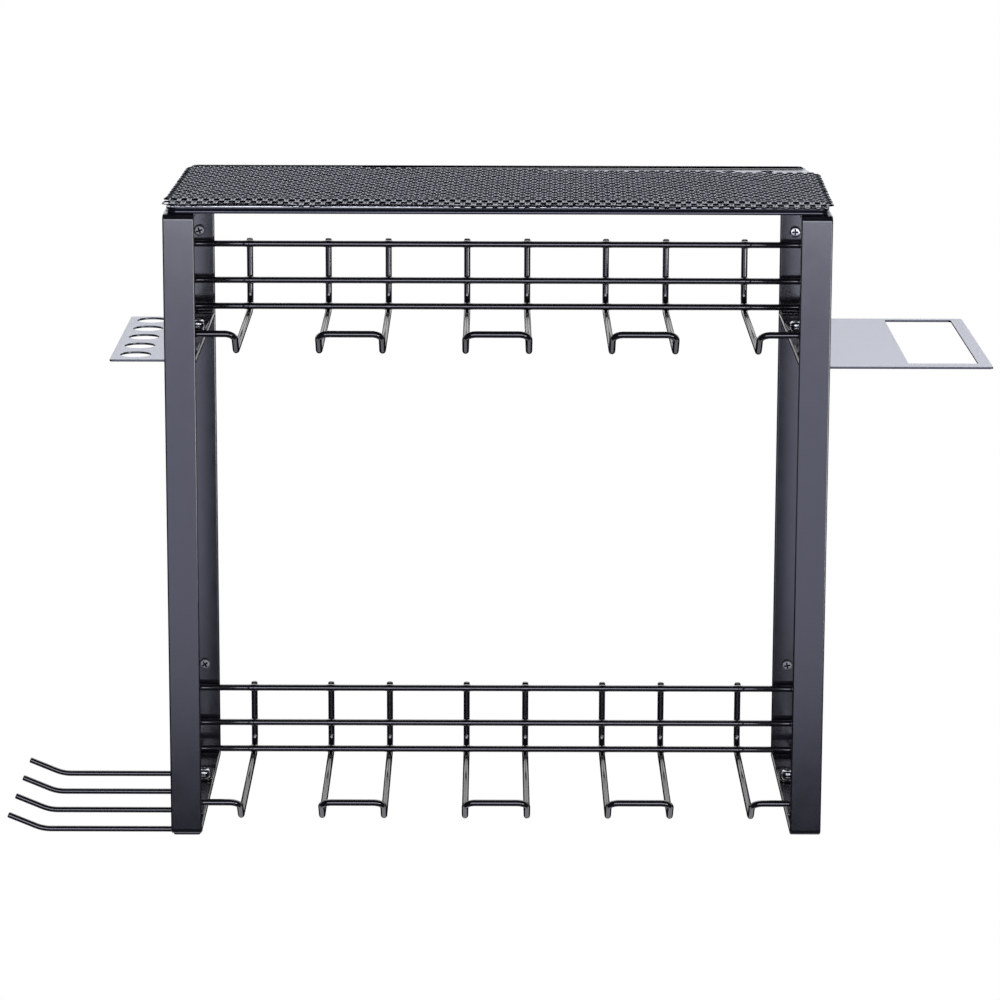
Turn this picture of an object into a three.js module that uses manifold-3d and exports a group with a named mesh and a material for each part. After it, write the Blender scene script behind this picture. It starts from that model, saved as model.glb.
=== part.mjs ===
import * as THREE from 'three';
import { mergeVertices } from 'three/addons/utils/BufferGeometryUtils.js';
import Module from 'manifold-3d';

// Wall-mounted organiser for power tools, in millimetres.
// Two side frames bent from flat bar stand against the wall. They carry two welded wire racks with
// U-shaped hooks, a perforated tray with a mat on top, a tool plate, a plate with a window, and a
// rail with four side hooks. X runs to the right, Y into the wall and Z up. The origin lies on the
// wall plane, midway between the frames and level with their underside.

// Side frames
const frame_width = 440;
const frame_depth = 196.5;
const frame_height = 423.5;
const strip_width = 20.8;
const strip_thickness = 3;
const strip_bend_radius = 4;
const upper_bay = 97.9;

// Gaps that welded or bolted pieces keep to what they sit on
const seat_gap = 0.3;
const cut_overrun = 1;

// Wire racks
const wire_diameter = 4.5;
const hook_count = 5;
const hook_width = 42.6;
const outer_leg_inset = 1.25;
const hook_bend_radius = 12;
const hook_nose_setback = 6.5;
const hook_nose_reach = 17;
const hook_nose_rise = 14.2;
const nose_bend_radius = 6;
const nose_corner_radius = 7;
const middle_wire_height = 24.25;
const top_wire_height = 50.05;
const stub_height = 1;

// Tabs that bolt a rack to the arms
const tab_thickness = 1.5;
const tab_length = 30;
const tab_setback = 1.3;
const tab_corner_radius = 3;
const arm_screw_depth_shares = [0.33, 0.76];

// Screws and nuts
const screw_diameter = 4.8;
const screw_hole_diameter = 5.6;
const arm_screw_length = 14;
const arm_head_diameter = 9.5;
const arm_head_height = 3.2;
const nut_across_flats = 8;
const nut_height = 4;
const wall_screw_diameter = 4.2;
const wall_head_diameter = 8.2;
const wall_head_height = 2.6;
const wall_screw_drop = 39.5;
const wall_screw_rise = 69;
const tray_head_diameter = 9;
const tray_head_height = 2.1;
const tray_screw_reach = 1.1;

// Tray and mat
const sheet_thickness = 1.2;
const tray_height = 4.7;
const tray_side_inset = 2;
const tray_edge_inset = 0.5;
const tray_corner_radius = 9;
const tray_hole_diameter = 9.4;
const tray_hole_pitch = 26.9;
const tray_hole_margin = 12;
const mat_thickness = 1.5;
const mat_columns = 18;
const mat_rows = 9;
const mat_border = 4;
const mat_gap_length_share = 0.62;
const mat_gap_height_share = 0.6;

// Tool plate on the left and window plate on the right
const plate_thickness = 1.5;
const plate_corner_radius = 2;
const tongue_setback = 1.8;
const tool_plate_reach = 38.5;
const tool_plate_depth_share = 0.875;
const tool_hole_count = 5;
const tool_hole_diameter = 20.8;
const tool_hole_inset = 15.9;
const tool_hole_pitch_share = 0.195;
const tool_hole_rear_share = 0.085;
const window_plate_reach = 108.5;
const window_plate_depth_share = 0.972;
const window_side_margin = 8.5;
const window_post_margin = 53.5;
const window_rear_margin = 6.5;
const window_front_margin = 13;

// Side hook rail under the left frame
const rail_thickness = 3;
const rail_end_inset = 10;
const side_hook_count = 4;
const side_hook_spacing_share = 0.255;
const side_hook_diameter = 4;
const side_hook_reach = 89.5;
const side_hook_tip = 26.5;
const side_hook_bend_radius = 6;
const side_hook_tip_angle = THREE.MathUtils.degToRad(22.7);

// Facets
const wire_sides = 8;
const bend_steps = 3;
const screw_sides = 10;
const hole_sides = 10;
const tray_hole_sides = 6;
const corner_segments = 3;

// Places that several pieces share
const half_width = frame_width / 2;
const strip_inner_x = half_width - strip_width;
const strip_middle_x = half_width - strip_width / 2;
const wire_radius = wire_diameter / 2;
const rear_face_y = -strip_thickness;
const front_face_y = strip_thickness - frame_depth;
const lower_arm_top = strip_thickness;
const mid_arm_top = frame_height - upper_bay;
const mid_arm_bottom = mid_arm_top - strip_thickness;
const outer_leg_x = half_width - outer_leg_inset - wire_radius;
const tab_outer_x = outer_leg_x - wire_radius - seat_gap;
const tab_inner_x = strip_inner_x + tab_setback;
const arm_screw_x = (tab_outer_x + tab_inner_x) / 2;
const arm_screw_y = arm_screw_depth_shares.map((share) => -share * frame_depth);
const tray_bottom = frame_height + seat_gap;
const tray_top = tray_bottom + tray_height;
const plate_top = mid_arm_bottom - seat_gap;

const wasm = await Module();
wasm.setup();

const frame_paint = new THREE.MeshStandardMaterial({ color: 0x23232a, roughness: 0.35, metalness: 0.2 });
const wire_paint = new THREE.MeshStandardMaterial({ color: 0x101013, roughness: 0.2, metalness: 0.2 });
const plate_paint = new THREE.MeshStandardMaterial({ color: 0x2b2b31, roughness: 0.35, metalness: 0.2 });
const bright_steel = new THREE.MeshStandardMaterial({ color: 0xc9cacd, roughness: 0.3, metalness: 0.9 });
const dark_steel = new THREE.MeshStandardMaterial({ color: 0x6c6b70, roughness: 0.4, metalness: 0.8 });
const mat_vinyl = new THREE.MeshStandardMaterial({ color: 0x17171a, roughness: 0.75, metalness: 0 });

const organiser = new THREE.Group();

function addPiece(name, geometry, material) {
  const piece = new THREE.Mesh(geometry, material);
  piece.name = name;
  organiser.add(piece);
  return piece;
}

// A closed geometry as a solid that can be cut or joined
function solidFrom(geometry) {
  const bare = geometry.clone();
  bare.deleteAttribute('normal');
  bare.deleteAttribute('uv');
  const merged = mergeVertices(bare);
  const vertProperties = new Float32Array(merged.attributes.position.array);
  const triVerts = new Uint32Array(merged.index.array);
  return new wasm.Manifold(new wasm.Mesh({ numProp: 3, vertProperties, triVerts }));
}

function geometryFrom(solid) {
  const mesh = solid.getMesh();
  const geometry = new THREE.BufferGeometry();
  geometry.setAttribute('position', new THREE.BufferAttribute(mesh.vertProperties, 3));
  geometry.setIndex(new THREE.BufferAttribute(mesh.triVerts, 1));
  geometry.computeVertexNormals();
  return geometry;
}

// Points around a circle, for round holes and for the section of a wire
function circlePoints(x, y, radius, sides) {
  const points = [];
  for (let i = 0; i < sides; i += 1) {
    const angle = (2 * Math.PI * (i + 0.5)) / sides;
    points.push(new THREE.Vector2(x + radius * Math.cos(angle), y + radius * Math.sin(angle)));
  }
  return points;
}

function roundHole(x, y, diameter, sides) {
  return new THREE.Path(circlePoints(x, y, diameter / 2, sides));
}

function roundedRectangle(path, left, bottom, right, top, radius) {
  const quarter = Math.PI / 2;
  path.absarc(right - radius, bottom + radius, radius, -quarter, 0, false);
  path.absarc(right - radius, top - radius, radius, 0, quarter, false);
  path.absarc(left + radius, top - radius, radius, quarter, 2 * quarter, false);
  path.absarc(left + radius, bottom + radius, radius, 2 * quarter, 3 * quarter, false);
  path.closePath();
  return path;
}

// A flat outline drawn in X and Y, raised from one height to another
function flatPiece(shape, bottom, top) {
  const settings = { depth: top - bottom, bevelEnabled: false, curveSegments: corner_segments };
  return new THREE.ExtrudeGeometry(shape, settings).translate(0, 0, bottom);
}

// A round cutter along Y or Z, longer than what it cuts
function roundCutter(axis, diameter, x, y, z, thickness) {
  const length = thickness + 2 * cut_overrun;
  const cutter = new THREE.CylinderGeometry(diameter / 2, diameter / 2, length, hole_sides);
  if (axis === 'z') {
    cutter.rotateX(Math.PI / 2);
  }
  return solidFrom(cutter.translate(x, y, z));
}

// The middle line of a bent wire: straight runs through the corner points, and a bend at each
class WirePath extends THREE.Curve {
  constructor(corners, radii) {
    super();
    this.stations = [corners[0]];
    for (let i = 1; i < corners.length - 1; i += 1) {
      this.addBend(corners[i - 1], corners[i], corners[i + 1], radii[i - 1]);
    }
    this.stations.push(corners[corners.length - 1]);
  }

  addBend(before, corner, after, radius) {
    const inward = new THREE.Vector3().subVectors(before, corner).normalize();
    const outward = new THREE.Vector3().subVectors(after, corner).normalize();
    const turn = Math.PI - inward.angleTo(outward);
    const run = radius * Math.tan(turn / 2);
    const bisector = new THREE.Vector3().addVectors(inward, outward).normalize();
    const centre = corner.clone().addScaledVector(bisector, radius / Math.cos(turn / 2));
    const start = corner.clone().addScaledVector(inward, run).sub(centre);
    const axis = new THREE.Vector3().crossVectors(outward, inward).normalize();
    for (let step = 0; step <= bend_steps; step += 1) {
      const point = start.clone().applyAxisAngle(axis, (turn * step) / bend_steps);
      this.stations.push(point.add(centre));
    }
  }

  getPoint(t, target = new THREE.Vector3()) {
    const place = t * (this.stations.length - 1);
    const first = Math.min(Math.max(Math.floor(place), 0), this.stations.length - 2);
    return target.lerpVectors(this.stations[first], this.stations[first + 1], place - first);
  }

  getUtoTmapping(u) {
    return u;
  }
}

function bentWire(corners, radii, diameter) {
  const path = new WirePath(corners, radii);
  const section = new THREE.Shape(circlePoints(0, 0, diameter / 2, wire_sides));
  const settings = { steps: path.stations.length - 1, bevelEnabled: false, extrudePath: path };
  return new THREE.ExtrudeGeometry(section, settings);
}

// Side frame: one flat bar bent into a closed loop, drilled for the wall screws in its rear post,
// for the rack screws in its bottom arm and for the tray screw in its top arm
function sideFrame(side) {
  const loop = roundedRectangle(new THREE.Shape(), -frame_depth, 0, 0, frame_height, strip_bend_radius);
  const inner_radius = strip_bend_radius - strip_thickness;
  const hollow_top = frame_height - strip_thickness;
  loop.holes.push(
    roundedRectangle(new THREE.Path(), front_face_y, strip_thickness, rear_face_y, hollow_top, inner_radius)
  );
  const settings = { depth: strip_width, bevelEnabled: false, curveSegments: corner_segments };
  const geometry = new THREE.ExtrudeGeometry(loop, settings);
  const turn = new THREE.Matrix4().makeBasis(
    new THREE.Vector3(0, 1, 0),
    new THREE.Vector3(0, 0, 1),
    new THREE.Vector3(1, 0, 0)
  );
  geometry.applyMatrix4(turn).translate(side * strip_middle_x - strip_width / 2, 0, 0);
  let solid = solidFrom(geometry);
  const half_thickness = strip_thickness / 2;
  for (const z of [wall_screw_rise, frame_height - wall_screw_drop]) {
    const x = side * strip_middle_x;
    solid = solid.subtract(roundCutter('y', screw_hole_diameter, x, -half_thickness, z, strip_thickness));
  }
  for (const y of arm_screw_y) {
    const x = side * arm_screw_x;
    solid = solid.subtract(roundCutter('z', screw_hole_diameter, x, y, half_thickness, strip_thickness));
  }
  const x = side * strip_middle_x;
  const y = -frame_depth / 2;
  const z = frame_height - half_thickness;
  solid = solid.subtract(roundCutter('z', screw_hole_diameter, x, y, z, strip_thickness));
  return geometryFrom(solid);
}

// Middle arm: a straight bar welded between the posts, which carries the upper rack
function midArm(side) {
  const left = side * strip_middle_x - strip_width / 2;
  const arm = new THREE.Shape();
  arm.moveTo(left, front_face_y + seat_gap);
  arm.lineTo(left + strip_width, front_face_y + seat_gap);
  arm.lineTo(left + strip_width, rear_face_y - seat_gap);
  arm.lineTo(left, rear_face_y - seat_gap);
  arm.closePath();
  for (const y of arm_screw_y) {
    arm.holes.push(roundHole(side * arm_screw_x, y, screw_hole_diameter, hole_sides));
  }
  return flatPiece(arm, mid_arm_bottom, mid_arm_top);
}

// U hook: one wire that hangs down the rear of the rack, bends forward over the arms, turns up
// into a nose and comes back the same way
function rackHook(centre_x, arm_top) {
  const wall_y = rear_face_y - seat_gap - wire_radius;
  const nose_y = front_face_y + hook_nose_setback;
  const run_z = arm_top + seat_gap + wire_radius;
  const top_z = arm_top + top_wire_height + wire_radius + stub_height;
  const corners = [];
  for (const side of [-1, 1]) {
    const x = centre_x + (side * hook_width) / 2;
    const leg = [
      new THREE.Vector3(x, wall_y, top_z),
      new THREE.Vector3(x, wall_y, run_z),
      new THREE.Vector3(x, nose_y + hook_nose_reach, run_z),
      new THREE.Vector3(x, nose_y, run_z + hook_nose_rise),
    ];
    corners.push(...(side < 0 ? leg : leg.reverse()));
  }
  const leg_radii = [hook_bend_radius, nose_bend_radius, nose_corner_radius];
  return bentWire(corners, [...leg_radii, ...leg_radii.toReversed()], wire_diameter);
}

// Cross wires: two welded in front of the hooks' upright ends, and one lying on their legs
function crossWire(y, z) {
  const length = 2 * (outer_leg_x + wire_radius);
  const wire = new THREE.CylinderGeometry(wire_radius, wire_radius, length, screw_sides);
  return wire.rotateZ(Math.PI / 2).translate(0, y, z);
}

// Tab: a small plate welded inside the outer leg, flat on the arm, with two round corners
function rackTab(side, y, arm_top) {
  const tab = new THREE.Shape();
  const near = y - tab_length / 2;
  const far = y + tab_length / 2;
  const corner = tab_corner_radius;
  const quarter = Math.PI / 2;
  tab.moveTo(tab_outer_x, near);
  tab.lineTo(tab_outer_x, far);
  tab.absarc(tab_inner_x + corner, far - corner, corner, quarter, 2 * quarter, false);
  tab.absarc(tab_inner_x + corner, near + corner, corner, 2 * quarter, 3 * quarter, false);
  tab.closePath();
  tab.holes.push(roundHole(arm_screw_x, y, screw_hole_diameter, hole_sides));
  const bottom = arm_top + seat_gap;
  const geometry = flatPiece(tab, bottom, bottom + tab_thickness);
  return side > 0 ? geometry : mirrored(geometry);
}

// The same piece for the left side, with its faces still pointing out
function mirrored(geometry) {
  const copy = mergeVertices(geometry.scale(-1, 1, 1));
  const order = copy.index.array;
  for (let i = 0; i < order.length; i += 3) {
    [order[i], order[i + 1]] = [order[i + 1], order[i]];
  }
  return copy;
}

// Pan-head screw that points down, its head seated at height zero
function panHeadScrew(shank_diameter, length, head_diameter, head_height) {
  const head_radius = head_diameter / 2;
  const rim_share = 0.4;
  const shoulder_share = 0.72;
  const crown_share = 0.85;
  const profile = [
    new THREE.Vector2(0, -length),
    new THREE.Vector2(shank_diameter / 2, -length),
    new THREE.Vector2(shank_diameter / 2, 0),
    new THREE.Vector2(head_radius, 0),
    new THREE.Vector2(head_radius, head_height * rim_share),
    new THREE.Vector2(head_radius * shoulder_share, head_height * crown_share),
    new THREE.Vector2(0, head_height),
  ];
  return new THREE.LatheGeometry(profile, screw_sides).rotateX(Math.PI / 2);
}

function hexNut() {
  const corner_radius = nut_across_flats / Math.sqrt(3);
  const outline = new THREE.Shape(circlePoints(0, 0, corner_radius, 6));
  outline.holes.push(roundHole(0, 0, screw_hole_diameter, hole_sides));
  return flatPiece(outline, 0, nut_height);
}

// Tray: a perforated sheet with a low rim turned down all round, which stands on the top arms
function shelfTray() {
  const right = half_width - tray_side_inset;
  const rear = -tray_edge_inset;
  const front = tray_edge_inset - frame_depth;
  const sheet = roundedRectangle(new THREE.Shape(), -right, front, right, rear, tray_corner_radius);
  const rim = roundedRectangle(new THREE.Shape(), -right, front, right, rear, tray_corner_radius);
  rim.holes.push(
    roundedRectangle(
      new THREE.Path(),
      sheet_thickness - right,
      front + sheet_thickness,
      right - sheet_thickness,
      rear - sheet_thickness,
      tray_corner_radius - sheet_thickness
    )
  );
  const reach_x = strip_inner_x - tray_hole_diameter / 2;
  const reach_y = (rear - front) / 2 - tray_hole_margin;
  const columns = Math.floor(reach_x / tray_hole_pitch);
  const rows = Math.floor(reach_y / tray_hole_pitch);
  for (let column = -columns; column <= columns; column += 1) {
    for (let row = -rows; row <= rows; row += 1) {
      const x = column * tray_hole_pitch;
      const y = row * tray_hole_pitch - frame_depth / 2;
      sheet.holes.push(roundHole(x, y, tray_hole_diameter, tray_hole_sides));
    }
  }
  let solid = solidFrom(flatPiece(sheet, tray_top - sheet_thickness, tray_top));
  solid = solid.add(solidFrom(flatPiece(rim, tray_bottom, tray_top)));
  for (const side of [-1, 1]) {
    const seat_radius = tray_head_diameter / 2 + seat_gap;
    const seat_depth = sheet_thickness + cut_overrun;
    const narrowing = ((tray_head_diameter - screw_diameter) / 2) * (seat_depth / tray_head_height);
    const seat = new THREE.CylinderGeometry(seat_radius, seat_radius - narrowing, seat_depth, hole_sides);
    seat.rotateX(Math.PI / 2).translate(side * strip_middle_x, -frame_depth / 2, tray_top - seat_depth / 2);
    const mouth = roundCutter('z', 2 * seat_radius, 0, 0, 0, 0);
    const mouth_z = tray_top + cut_overrun;
    solid = solid.subtract(solidFrom(seat));
    solid = solid.subtract(mouth.translate([side * strip_middle_x, -frame_depth / 2, mouth_z]));
  }
  return geometryFrom(solid);
}

// Countersunk screw, flush with the tray, which is tapped into the top arm
function trayScrew(side) {
  const shank_bottom = frame_height - strip_thickness - tray_screw_reach - tray_top;
  const profile = [
    new THREE.Vector2(0, shank_bottom),
    new THREE.Vector2(screw_diameter / 2, shank_bottom),
    new THREE.Vector2(screw_diameter / 2, -tray_head_height),
    new THREE.Vector2(tray_head_diameter / 2, 0),
    new THREE.Vector2(0, 0),
  ];
  const screw = new THREE.LatheGeometry(profile, screw_sides).rotateX(Math.PI / 2);
  return screw.translate(side * strip_middle_x, -frame_depth / 2, tray_top);
}

// Mat: a thin vinyl net laid a little askew on the tray, with staggered long gaps
function meshMat() {
  const corner_shares = {
    rear_left: [-0.487, -0.015],
    rear_right: [0.507, -0.172],
    front_right: [0.499, -1.026],
    front_left: [-0.497, -0.952],
  };
  const place = ([across, along]) => new THREE.Vector2(across * frame_width, along * frame_depth);
  const rear_left = place(corner_shares.rear_left);
  const rear_right = place(corner_shares.rear_right);
  const front_right = place(corner_shares.front_right);
  const front_left = place(corner_shares.front_left);
  const outline = new THREE.Shape([front_left, front_right, rear_right, rear_left]);
  const pointOn = (across, along) => {
    const front = front_left.clone().lerp(front_right, across);
    const rear = rear_left.clone().lerp(rear_right, across);
    return front.lerp(rear, along);
  };
  const border_x = mat_border / frame_width;
  const border_y = mat_border / frame_depth;
  const cell_x = (1 - 2 * border_x) / (mat_columns + 0.5);
  const cell_y = (1 - 2 * border_y) / mat_rows;
  const half_length = (cell_x * mat_gap_length_share) / 2;
  const half_height = (cell_y * mat_gap_height_share) / 2;
  const gap_shares = [[-1, 0], [-0.6, -1], [0.6, -1], [1, 0], [0.6, 1], [-0.6, 1]];
  for (let row = 0; row < mat_rows; row += 1) {
    const stagger = row % 2 ? 1 : 0.5;
    for (let column = 0; column < mat_columns; column += 1) {
      const across = border_x + (column + stagger) * cell_x;
      const along = border_y + (row + 0.5) * cell_y;
      const gap = gap_shares.map(([u, v]) => pointOn(across + u * half_length, along + v * half_height));
      outline.holes.push(new THREE.Path(gap));
    }
  }
  const bottom = tray_top + seat_gap;
  return flatPiece(outline, bottom, bottom + mat_thickness);
}

// A plate outside one frame, with a tongue bolted under the middle arm
function sidePlate(side, reach, depth_share, openings) {
  const outer = half_width + reach;
  const inner = strip_inner_x + tongue_setback;
  const rear = rear_face_y - seat_gap;
  const front = Math.max(-depth_share * frame_depth, front_face_y + seat_gap);
  const left = side > 0 ? inner : -outer;
  const right = side > 0 ? outer : -inner;
  const plate = roundedRectangle(new THREE.Shape(), left, front, right, rear, plate_corner_radius);
  for (const y of arm_screw_y) {
    plate.holes.push(roundHole(side * arm_screw_x, y, screw_hole_diameter, hole_sides));
  }
  plate.holes.push(...openings);
  return flatPiece(plate, plate_top - plate_thickness, plate_top);
}

function toolPlate() {
  const x = tool_hole_inset - half_width - tool_plate_reach;
  const depth = tool_plate_depth_share * frame_depth;
  const holes = [];
  for (let i = 0; i < tool_hole_count; i += 1) {
    const y = rear_face_y - (tool_hole_rear_share + i * tool_hole_pitch_share) * depth;
    holes.push(roundHole(x, y, tool_hole_diameter, 2 * hole_sides));
  }
  return sidePlate(-1, tool_plate_reach, tool_plate_depth_share, holes);
}

function windowPlate() {
  const window = roundedRectangle(
    new THREE.Path(),
    half_width + window_post_margin,
    window_front_margin - window_plate_depth_share * frame_depth,
    half_width + window_plate_reach - window_side_margin,
    rear_face_y - window_rear_margin,
    plate_corner_radius
  );
  return sidePlate(1, window_plate_reach, window_plate_depth_share, [window]);
}

// Rail: a strip bolted under the left frame, with the side hooks welded to its underside
function hookRail() {
  const outer = -half_width + tongue_setback / 2;
  const inner = -strip_inner_x - tongue_setback;
  const front = rail_end_inset - frame_depth;
  const rail = roundedRectangle(new THREE.Shape(), outer, front, inner, -rail_end_inset, plate_corner_radius);
  for (const y of arm_screw_y) {
    rail.holes.push(roundHole(-arm_screw_x, y, screw_hole_diameter, hole_sides));
  }
  return flatPiece(rail, -seat_gap - rail_thickness, -seat_gap);
}

function sideHook(index) {
  const rail_length = frame_depth - 2 * rail_end_inset;
  const spacing = side_hook_spacing_share * rail_length;
  const y = -frame_depth / 2 - (index - (side_hook_count - 1) / 2) * spacing;
  const z = -2 * seat_gap - rail_thickness - side_hook_diameter / 2;
  const bend_x = -half_width - side_hook_reach;
  const corners = [
    new THREE.Vector3(-strip_inner_x - tongue_setback, y, z),
    new THREE.Vector3(bend_x, y, z),
    new THREE.Vector3(
      bend_x - side_hook_tip * Math.cos(side_hook_tip_angle),
      y,
      z + side_hook_tip * Math.sin(side_hook_tip_angle)
    ),
  ];
  return bentWire(corners, [side_hook_bend_radius], side_hook_diameter);
}

const sides = { left: -1, right: 1 };

for (const [name, side] of Object.entries(sides)) {
  addPiece(`side_frame_${name}`, sideFrame(side), frame_paint);
  addPiece(`mid_arm_${name}`, midArm(side), frame_paint);
}

const levels = { lower: lower_arm_top, upper: mid_arm_top };

for (const [level, arm_top] of Object.entries(levels)) {
  const spacing = (2 * outer_leg_x - hook_width) / (hook_count - 1);
  for (let i = 0; i < hook_count; i += 1) {
    const centre_x = (i - (hook_count - 1) / 2) * spacing;
    addPiece(`${level}_hook_${i + 1}`, rackHook(centre_x, arm_top), wire_paint);
  }
  const upright_y = rear_face_y - seat_gap - wire_radius;
  const front_wire_y = upright_y - wire_diameter - seat_gap;
  const leg_wire_y = upright_y - hook_bend_radius - wire_radius;
  const leg_wire_z = arm_top + 2 * seat_gap + wire_diameter + wire_radius;
  addPiece(`${level}_wire_top`, crossWire(front_wire_y, arm_top + top_wire_height), wire_paint);
  addPiece(`${level}_wire_middle`, crossWire(front_wire_y, arm_top + middle_wire_height), wire_paint);
  addPiece(`${level}_wire_bottom`, crossWire(leg_wire_y, leg_wire_z), wire_paint);

  for (const [name, side] of Object.entries(sides)) {
    ['rear', 'front'].forEach((end, i) => {
      const y = arm_screw_y[i];
      addPiece(`${level}_tab_${name}_${end}`, rackTab(side, y, arm_top), wire_paint);
      const screw = panHeadScrew(screw_diameter, arm_screw_length, arm_head_diameter, arm_head_height);
      const head_z = arm_top + tab_thickness + 2 * seat_gap;
      screw.translate(side * arm_screw_x, y, head_z);
      addPiece(`${level}_screw_${name}_${end}`, screw, bright_steel);
      const carried = carriedThickness(level, side);
      const nut_z = arm_top - strip_thickness - carried - seat_gap - nut_height;
      addPiece(`${level}_nut_${name}_${end}`, hexNut().translate(side * arm_screw_x, y, nut_z), bright_steel);
    });
  }
}

// What the same screws clamp under the arm: a plate above, the rail at the lower left, else nothing
function carriedThickness(level, side) {
  if (level === 'upper') {
    return seat_gap + plate_thickness;
  }
  return side < 0 ? seat_gap + rail_thickness : 0;
}

const wall_screw_heights = { lower: wall_screw_rise, upper: frame_height - wall_screw_drop };

for (const [level, z] of Object.entries(wall_screw_heights)) {
  for (const [name, side] of Object.entries(sides)) {
    const length = strip_thickness;
    const screw = panHeadScrew(wall_screw_diameter, length, wall_head_diameter, wall_head_height);
    screw.rotateX(Math.PI / 2).translate(side * strip_middle_x, rear_face_y - seat_gap, z);
    const steel = level === 'upper' && side > 0 ? bright_steel : dark_steel;
    addPiece(`wall_screw_${level}_${name}`, screw, steel);
  }
}

addPiece('shelf_tray', shelfTray(), frame_paint);
addPiece('tray_screw_left', trayScrew(-1), bright_steel);
addPiece('tray_screw_right', trayScrew(1), bright_steel);
addPiece('mesh_mat', meshMat(), mat_vinyl);
addPiece('tool_plate', toolPlate(), plate_paint);
addPiece('window_plate', windowPlate(), plate_paint);
addPiece('hook_rail', hookRail(), wire_paint);

for (let i = 0; i < side_hook_count; i += 1) {
  addPiece(`side_hook_${i + 1}`, sideHook(i), wire_paint);
}

export default organiser;
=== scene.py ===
"""A wall rack for power tools: side frames, two wire racks, a top tray, side plates and hooks."""

import math
import random

import bmesh
import bpy
from mathutils import Matrix, Quaternion, Vector
from mathutils.geometry import delaunay_2d_cdt


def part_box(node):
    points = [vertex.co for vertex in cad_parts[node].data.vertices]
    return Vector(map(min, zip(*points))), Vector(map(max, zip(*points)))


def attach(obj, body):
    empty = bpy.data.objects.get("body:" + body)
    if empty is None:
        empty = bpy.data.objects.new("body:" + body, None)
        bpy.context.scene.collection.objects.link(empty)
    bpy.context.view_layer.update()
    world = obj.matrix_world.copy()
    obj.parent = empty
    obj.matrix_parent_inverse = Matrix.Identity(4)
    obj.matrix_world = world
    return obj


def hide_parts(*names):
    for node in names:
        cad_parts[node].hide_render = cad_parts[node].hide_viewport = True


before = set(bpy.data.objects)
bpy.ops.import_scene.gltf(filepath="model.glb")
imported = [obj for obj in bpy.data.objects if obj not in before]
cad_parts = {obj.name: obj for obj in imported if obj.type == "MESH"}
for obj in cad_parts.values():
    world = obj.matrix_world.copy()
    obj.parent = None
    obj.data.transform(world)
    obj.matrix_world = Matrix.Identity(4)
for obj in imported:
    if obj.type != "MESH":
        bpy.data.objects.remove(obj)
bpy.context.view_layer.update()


# Side frames. Each is one length of flat steel bar, bent on its flat into a closed loop and painted
# black. Its long edges are rolled, and the wall screws go through its rear upright.
sides = ("left", "right")
bar_thickness = 0.003
bar_bend = 0.004
bar_edge = 0.0012
bar_edge_steps = 4
bar_bend_steps = 10
bar_crease = 60
enamel_black = (0.010, 0.010, 0.013, 1)
enamel_roughness = (0.12, 0.18)
enamel_grain = 900
enamel_peel = 0.03
enamel_index = 1.9
cloud_spread = 12
cloud_detail = 3
cloud_tint = 1.5
grain_detail = 2
peel_depth = 0.0002
usual_crease = 40
no_crease = 180


def enamel(name, colour, roughness, grain, peel, index):
    """Stoved paint: nearly smooth, with the faint orange peel that breaks up its reflections."""
    paint = bpy.data.materials.new(name)
    paint.use_nodes = True
    nodes, links = paint.node_tree.nodes, paint.node_tree.links
    shader = nodes["Principled BSDF"]
    shader.inputs["IOR"].default_value = index
    place = nodes.new("ShaderNodeTexCoord")
    cloud = nodes.new("ShaderNodeTexNoise")
    cloud.inputs["Scale"].default_value = grain / cloud_spread
    cloud.inputs["Detail"].default_value = cloud_detail
    fine = nodes.new("ShaderNodeTexNoise")
    fine.inputs["Scale"].default_value = grain
    fine.inputs["Detail"].default_value = grain_detail
    for texture in (cloud, fine):
        links.new(place.outputs["Object"], texture.inputs["Vector"])
    spread = nodes.new("ShaderNodeMapRange")
    spread.inputs["To Min"].default_value, spread.inputs["To Max"].default_value = roughness
    links.new(cloud.outputs["Fac"], spread.inputs["Value"])
    links.new(spread.outputs["Result"], shader.inputs["Roughness"])
    tint = nodes.new("ShaderNodeMix")
    tint.data_type = "RGBA"
    tint.inputs["A"].default_value = colour
    tint.inputs["B"].default_value = [min(1, cloud_tint * part) for part in colour[:3]] + [1]
    links.new(cloud.outputs["Fac"], tint.inputs["Factor"])
    links.new(tint.outputs["Result"], shader.inputs["Base Color"])
    skin = nodes.new("ShaderNodeBump")
    skin.inputs["Strength"].default_value = peel
    skin.inputs["Distance"].default_value = peel_depth
    links.new(fine.outputs["Fac"], skin.inputs["Height"])
    links.new(skin.outputs["Normal"], shader.inputs["Normal"])
    return paint


frame_enamel = enamel(
    "frame_enamel", enamel_black, enamel_roughness, enamel_grain, enamel_peel, enamel_index
)


def finished(name, mesh, material, nodes, smooth=usual_crease, inside=None):
    """The mesh becomes a piece of the rack that stands for its CAD nodes.

    Edges sharper than the smooth angle stay creased, and the shading of a large flat face stays level
    up to the rounds along its edges. inside is a second material for the faces that ask for it: a
    painted shade in the screws' recesses and on the mat's gap walls.
    """
    bmesh.ops.recalc_face_normals(mesh, faces=mesh.faces)
    for face in mesh.faces:
        face.smooth = True
    data = bpy.data.meshes.new(name)
    mesh.to_mesh(data)
    mesh.free()
    data.set_sharp_from_angle(angle=math.radians(smooth))
    data.materials.append(material)
    if inside:
        data.materials.append(inside)
    piece = bpy.data.objects.new(name, data)
    bpy.context.scene.collection.objects.link(piece)
    if smooth < no_crease:
        level = piece.modifiers.new("level_shading", "WEIGHTED_NORMAL")
        level.keep_sharp = True
    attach(piece, "root")
    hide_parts(*nodes)
    return piece


def bridged(mesh, rings, closed=False):
    """Faces between rings of points that follow one another."""
    pairs = list(zip(rings, rings[1:])) + ([(rings[-1], rings[0])] if closed else [])
    for here, there in pairs:
        for k in range(len(here)):
            mesh.faces.new((here[k - 1], here[k], there[k], there[k - 1]))


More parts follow.
